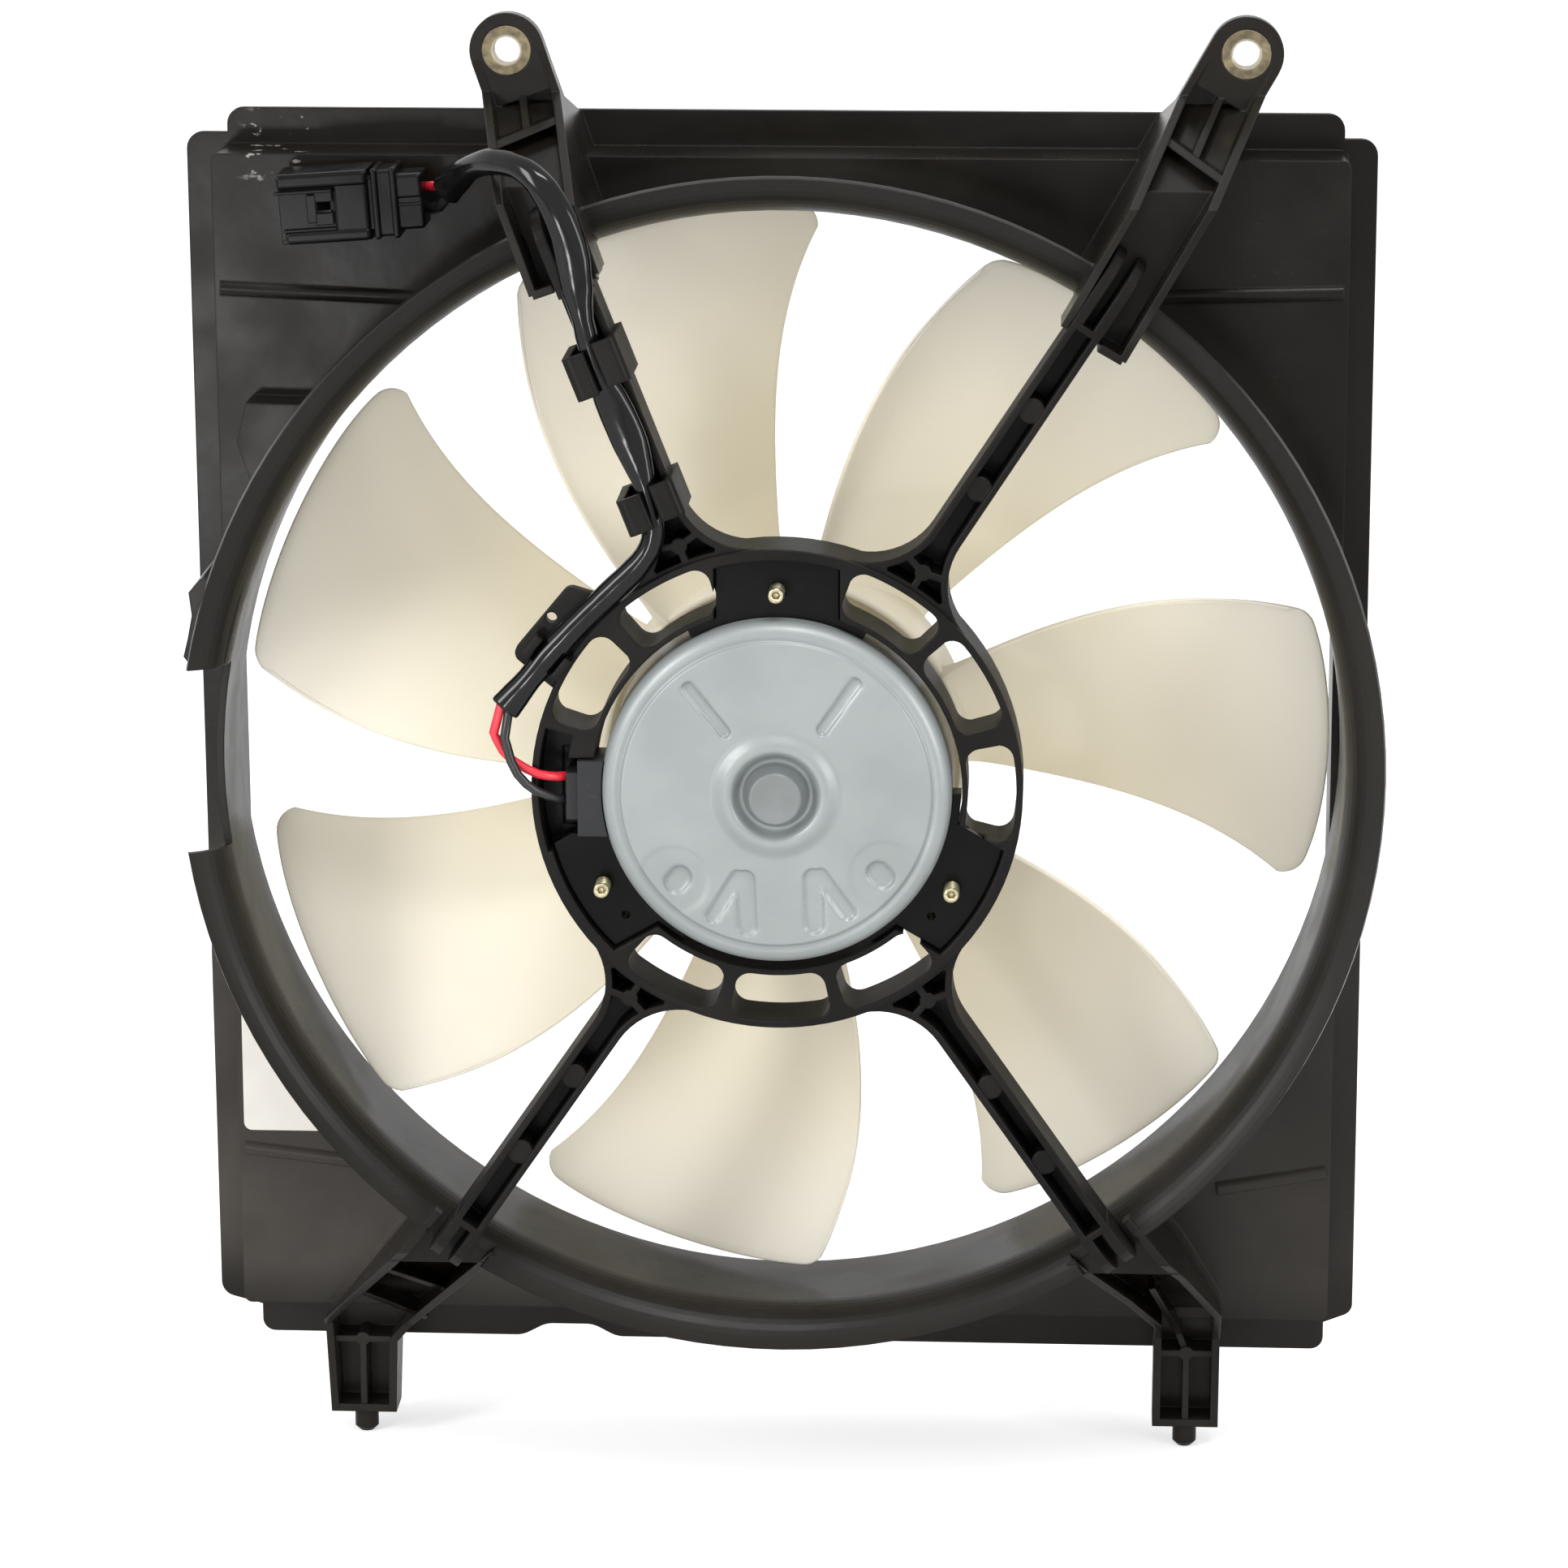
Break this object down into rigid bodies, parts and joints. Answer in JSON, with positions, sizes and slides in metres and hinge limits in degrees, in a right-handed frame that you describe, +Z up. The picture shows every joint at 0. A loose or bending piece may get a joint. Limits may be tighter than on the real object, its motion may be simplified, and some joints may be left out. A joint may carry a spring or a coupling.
{
  "type": "radiator fan",
  "caption": "Engine cooling fan assembly: moulded square shroud with a flared ring, a four-armed motor stay, an electric motor, a plastic bladed fan and a wired connector.",
  "frame": {"origin": "midway between the two upper bolt holes, on the rear face of their ears", "axes": "+X to the right seen from the motor side, +Z up, -Y toward the motor side (engine), +Y toward the radiator"},
  "size_m": [0.363, 0.102, 0.447],
  "materials": {
    "shroud_plastic": "satin moulded",
    "stay_plastic": "satin moulded",
    "collar_steel": "yellow zinc",
    "can_steel": "zinc plated, satin",
    "bracket_steel": "black",
    "ferrite": "dull",
    "bronze": "sintered",
    "bearing_steel": "ground",
    "card_resin": "resin",
    "carbon": "carbon",
    "screw_zinc": "yellow chromate",
    "rubber_black": "matt",
    "wire_red": "vinyl",
    "wire_black": "vinyl",
    "sleeve_vinyl": "glossy vinyl",
    "connector_plastic": "satin",
    "terminal_brass": "tinned",
    "seal_rubber": "silicone",
    "core_steel": "laminated",
    "copper": "enamelled",
    "washer_nylon": "nylon",
    "fan_nylon": "translucent nylon"
  },
  "bodies": {
    "housing": {"shroud": "shroud_plastic", "left_collar": "collar_steel", "right_collar": "collar_steel", "motor_stay": "stay_plastic", "motor_can": "can_steel", "motor_bracket": "bracket_steel", "front_cover": "can_steel", "field_magnets": "ferrite", "rear_bearing": "bronze", "front_bearing": "bearing_steel", "brush_card": "card_resin", "brushes": "carbon", "brush_springs": "bearing_steel", "motor_screws": "screw_zinc", "lead_grommet": "rubber_black", "red_lead": "wire_red", "black_lead": "wire_black", "lead_sleeve": "sleeve_vinyl", "connector_housing": "connector_plastic", "connector_retainer": "connector_plastic", "connector_terminals": "terminal_brass", "connector_seals": "seal_rubber"},
    "rotor": {"armature_shaft": "bearing_steel", "armature_core": "core_steel", "armature_windings": "copper", "commutator": "copper", "thrust_washers": "washer_nylon", "fan": "fan_nylon", "hub_insert": "bearing_steel", "fan_nut": "screw_zinc", "fan_washer": "screw_zinc"}
  },
  "joints": [
    {"name": "fan_spin", "type": "hinge", "parent": "housing", "child": "rotor", "pos_m": [-0.026, 0, -0.21], "axis": [0, 1, 0], "continuous": true}
  ]
}
